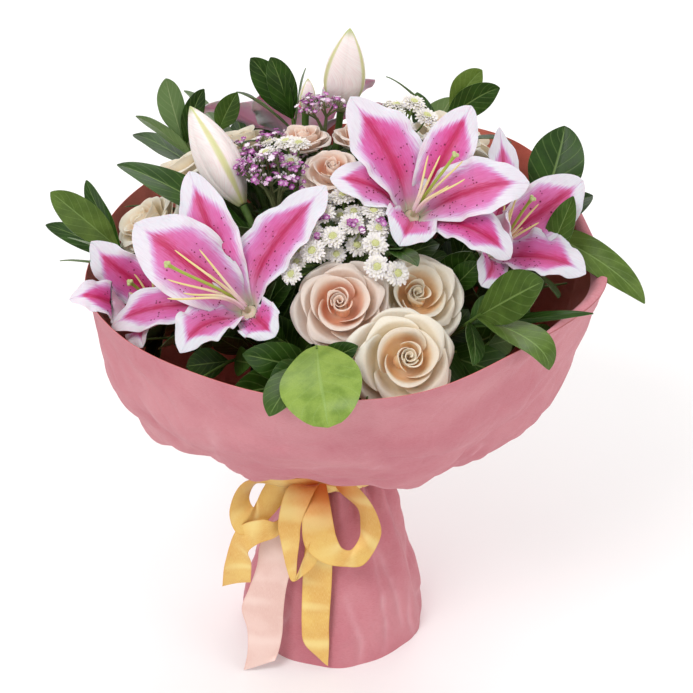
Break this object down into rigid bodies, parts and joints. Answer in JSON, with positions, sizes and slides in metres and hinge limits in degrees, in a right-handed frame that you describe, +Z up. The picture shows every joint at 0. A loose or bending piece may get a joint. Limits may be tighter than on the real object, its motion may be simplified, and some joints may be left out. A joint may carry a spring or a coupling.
{
  "type": "flower bouquet",
  "caption": "Hand-tied bouquet of lilies, roses, button mums and foliage in a flared paper wrap with satin ribbons; it stands on its cut stems and the paper hem.",
  "frame": {"origin": "on the ground, under the middle of the bouquet's box, where the cut stems and the paper hem stand", "axes": "+Z up along the standing bouquet, front with the bow faces -Y, +X to the right seen from the front"},
  "size_m": [0.439, 0.3925, 0.4652],
  "materials": {
    "blush_satin": "glossy satin weave, pale blush",
    "cream_rose_petal": "velvety living petal, cream",
    "jute_twine": "rough natural jute",
    "leaf_skin": "semi-gloss leaf skin, veined",
    "lily_bud_skin": "smooth living skin, cream flushed with pink and green",
    "lily_petal": "soft living petal, magenta with pale margins and dark spots",
    "lily_style": "waxy pale green",
    "mum_petal": "soft living petal, white with a green yellow centre",
    "peach_rose_petal": "velvety living petal, peach",
    "stem_skin": "matt green plant skin",
    "violet_petal": "soft living petal, violet",
    "wrap_paper": "matte, softly creased, dusty pink",
    "yellow_satin": "glossy satin weave, golden yellow"
  },
  "bodies": {
    "root": {"button_mums_back": "mum_petal", "button_mums_front": "mum_petal", "button_mums_left": "mum_petal", "foliage_back_left": "leaf_skin", "foliage_far_left": "leaf_skin", "foliage_far_right": "leaf_skin", "foliage_front": "leaf_skin", "foliage_front_right": "leaf_skin", "foliage_left": "leaf_skin", "foliage_middle": "leaf_skin", "foliage_right": "leaf_skin", "foliage_top": "leaf_skin", "foliage_top_right": "leaf_skin", "lily_back_style_and_filaments": "lily_style", "lily_back_tepals": "lily_petal", "lily_bud_left": "lily_bud_skin", "lily_bud_small": "lily_bud_skin", "lily_bud_top": "lily_bud_skin", "lily_front_left_style_and_filaments": "lily_style", "lily_front_left_tepals": "lily_petal", "lily_front_right_style_and_filaments": "lily_style", "lily_front_right_tepals": "lily_petal", "lily_left_style_and_filaments": "lily_style", "lily_left_tepals": "lily_petal", "lily_right_style_and_filaments": "lily_style", "lily_right_tepals": "lily_petal", "lily_stem_back": "stem_skin", "lily_stem_left": "stem_skin", "lily_stem_right": "stem_skin", "paper_wrap": "wrap_paper", "ribbon_blush": "blush_satin", "ribbon_yellow": "yellow_satin", "rose_back_left_bloom": "cream_rose_petal", "rose_back_left_stem": "stem_skin", "rose_back_right_bloom": "cream_rose_petal", "rose_back_right_stem": "stem_skin", "rose_centre_back_bloom": "peach_rose_petal", "rose_centre_back_stem": "stem_skin", "rose_centre_bloom": "peach_rose_petal", "rose_centre_left_bloom": "peach_rose_petal", "rose_centre_left_stem": "stem_skin", "rose_centre_stem": "stem_skin", "rose_front_bloom": "cream_rose_petal", "rose_front_left_bloom": "peach_rose_petal", "rose_front_left_stem": "stem_skin", "rose_front_right_bloom": "cream_rose_petal", "rose_front_right_stem": "stem_skin", "rose_front_stem": "stem_skin", "rose_left_bloom": "cream_rose_petal", "rose_left_stem": "stem_skin", "rose_middle_left_bloom": "cream_rose_petal", "rose_middle_left_stem": "stem_skin", "rose_right_back_bloom": "cream_rose_petal", "rose_right_back_stem": "stem_skin", "twine_binding": "jute_twine", "violet_florets_left": "violet_petal", "violet_florets_top": "violet_petal"}
  },
  "joints": []
}
